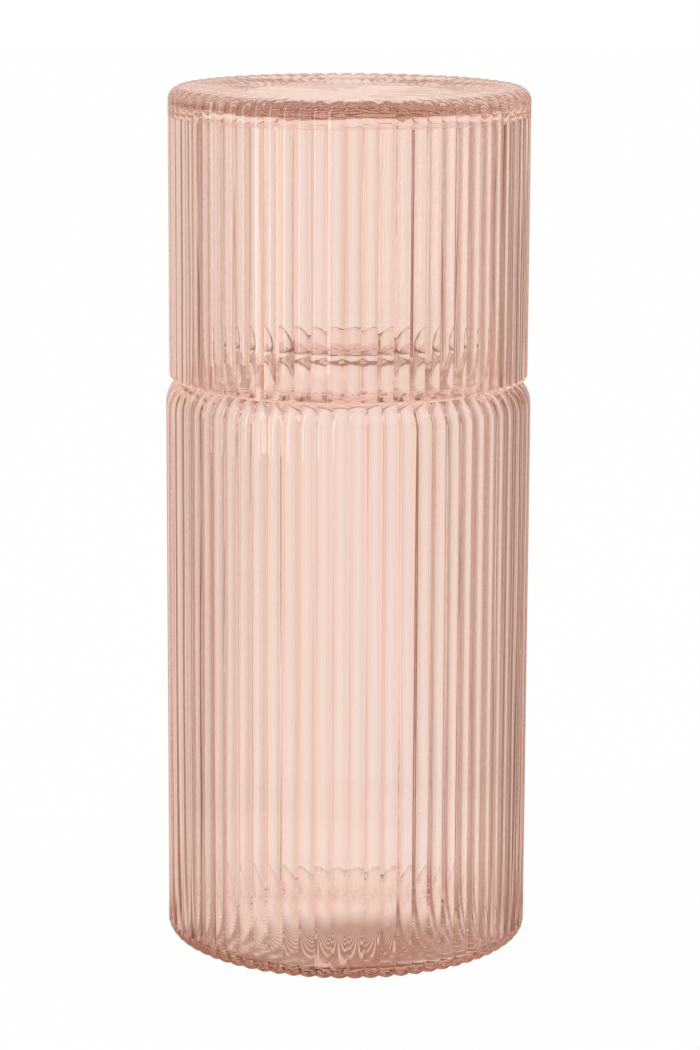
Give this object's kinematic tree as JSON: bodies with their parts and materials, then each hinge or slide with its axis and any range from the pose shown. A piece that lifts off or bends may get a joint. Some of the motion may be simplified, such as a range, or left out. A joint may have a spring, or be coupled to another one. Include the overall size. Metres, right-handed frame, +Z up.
{
  "type": "bedside carafe with tumbler",
  "caption": "Ribbed rose glass carafe with a short wide neck, covered by its own tumbler, which stands upside down on the shoulder and lifts off.",
  "frame": {"origin": "centre of the carafe's foot, on the table", "axes": "+Z up along the common axis of carafe and tumbler; -Y towards the viewer of the picture"},
  "size_m": [0.085, 0.085, 0.2004],
  "materials": {
    "carafe_glass": "clear rose glass, ribbed",
    "tumbler_glass": "clear rose glass, ribbed"
  },
  "bodies": {
    "carafe_body": {"carafe": "carafe_glass"},
    "tumbler_body": {"tumbler": "tumbler_glass"}
  },
  "joints": [
    {"name": "tumbler_lift", "type": "slide", "parent": "carafe_body", "child": "tumbler_body", "axis": [0, 0, 1], "range_m": [0, 0.1]}
  ]
}
